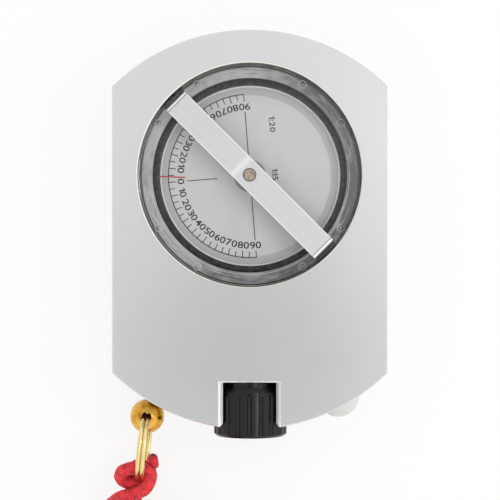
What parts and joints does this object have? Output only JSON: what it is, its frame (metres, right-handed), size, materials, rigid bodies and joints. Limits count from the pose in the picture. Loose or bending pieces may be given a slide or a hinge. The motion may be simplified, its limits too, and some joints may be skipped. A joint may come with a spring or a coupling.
{
  "type": "clinometer",
  "caption": "Pocket optical clinometer: weighted dial in a clear sealed capsule in an aluminium block, focusing eyepiece, brass lanyard eye and ring with a cord.",
  "frame": {"origin": "on the flat back face of the block, straight behind the dial's axis", "axes": "+Z out of the dial side, +Y along the block towards its plain end, away from the eyepiece, and +X across the block, to the right when the dial faces the viewer"},
  "size_m": [0.0634, 0.1421, 0.0155],
  "materials": {
    "anodised_block": "satin anodised",
    "bar_sheet": "satin",
    "clear_acrylic": "clear, polished",
    "optical_glass": "polished",
    "seal_rubber": "matt, dark grey",
    "dial_print": "matt, printed",
    "hub_metal": "turned",
    "weight_brass": "plain",
    "pin_steel": "ground",
    "jewel": "polished",
    "post_metal": "turned",
    "inner_brass": "turned",
    "black_plastic": "moulded, satin black",
    "polished_brass": "polished",
    "milky_nylon": "translucent, moulded",
    "red_cord": "braided nylon",
    "tie_fabric": "woven tape"
  },
  "bodies": {
    "block": {"housing": "anodised_block", "capsule_pad": "seal_rubber", "capsule_case": "clear_acrylic", "capsule_seal": "seal_rubber", "capsule_cover": "clear_acrylic", "filler_plug": "milky_nylon", "hairline_plate": "optical_glass", "rear_jewel_seat": "inner_brass", "rear_jewel": "jewel", "front_jewel": "jewel", "bearing_post": "post_metal", "retaining_bar": "bar_sheet", "focus_sleeve": "inner_brass", "lanyard_eye": "polished_brass", "end_plug": "milky_nylon"},
    "dial": {"dial_face": "dial_print", "dial_drum": "dial_print", "dial_hub": "hub_metal", "balance_weight": "weight_brass", "pivot_pin": "pin_steel"},
    "focus_slide": {"friction_ring": "seal_rubber"},
    "eyepiece": {"eyepiece_barrel": "black_plastic", "field_stop": "black_plastic", "eyepiece_lens": "optical_glass", "lens_retainer": "black_plastic"},
    "lanyard": {"lanyard_ring": "polished_brass", "lanyard_hitch": "red_cord", "lanyard_cord": "red_cord", "lanyard_coil": "red_cord", "coil_tie": "tie_fabric"}
  },
  "joints": [
    {"name": "dial_spin", "type": "hinge", "parent": "block", "child": "dial", "pos_m": [0, 0, 0.00775], "axis": [0, 0, 1], "continuous": true},
    {"name": "focus_travel", "type": "slide", "parent": "block", "child": "focus_slide", "axis": [0, -1, 0], "range_m": [-0.0009, 0.0016]},
    {"name": "eyepiece_turn", "type": "hinge", "parent": "focus_slide", "child": "eyepiece", "pos_m": [0, -0.0425, 0.00775], "axis": [0, -1, 0], "range_deg": [-108.1, 192.1]},
    {"name": "ring_swing", "type": "hinge", "parent": "block", "child": "lanyard", "pos_m": [-0.01996, -0.04633, 0.00775], "axis": [0, 0, 1], "range_deg": [-75, 38]}
  ],
  "couplings": [
    {"joint": "eyepiece_turn", "follows": "focus_travel", "rad_per_m": 2094.4}
  ]
}
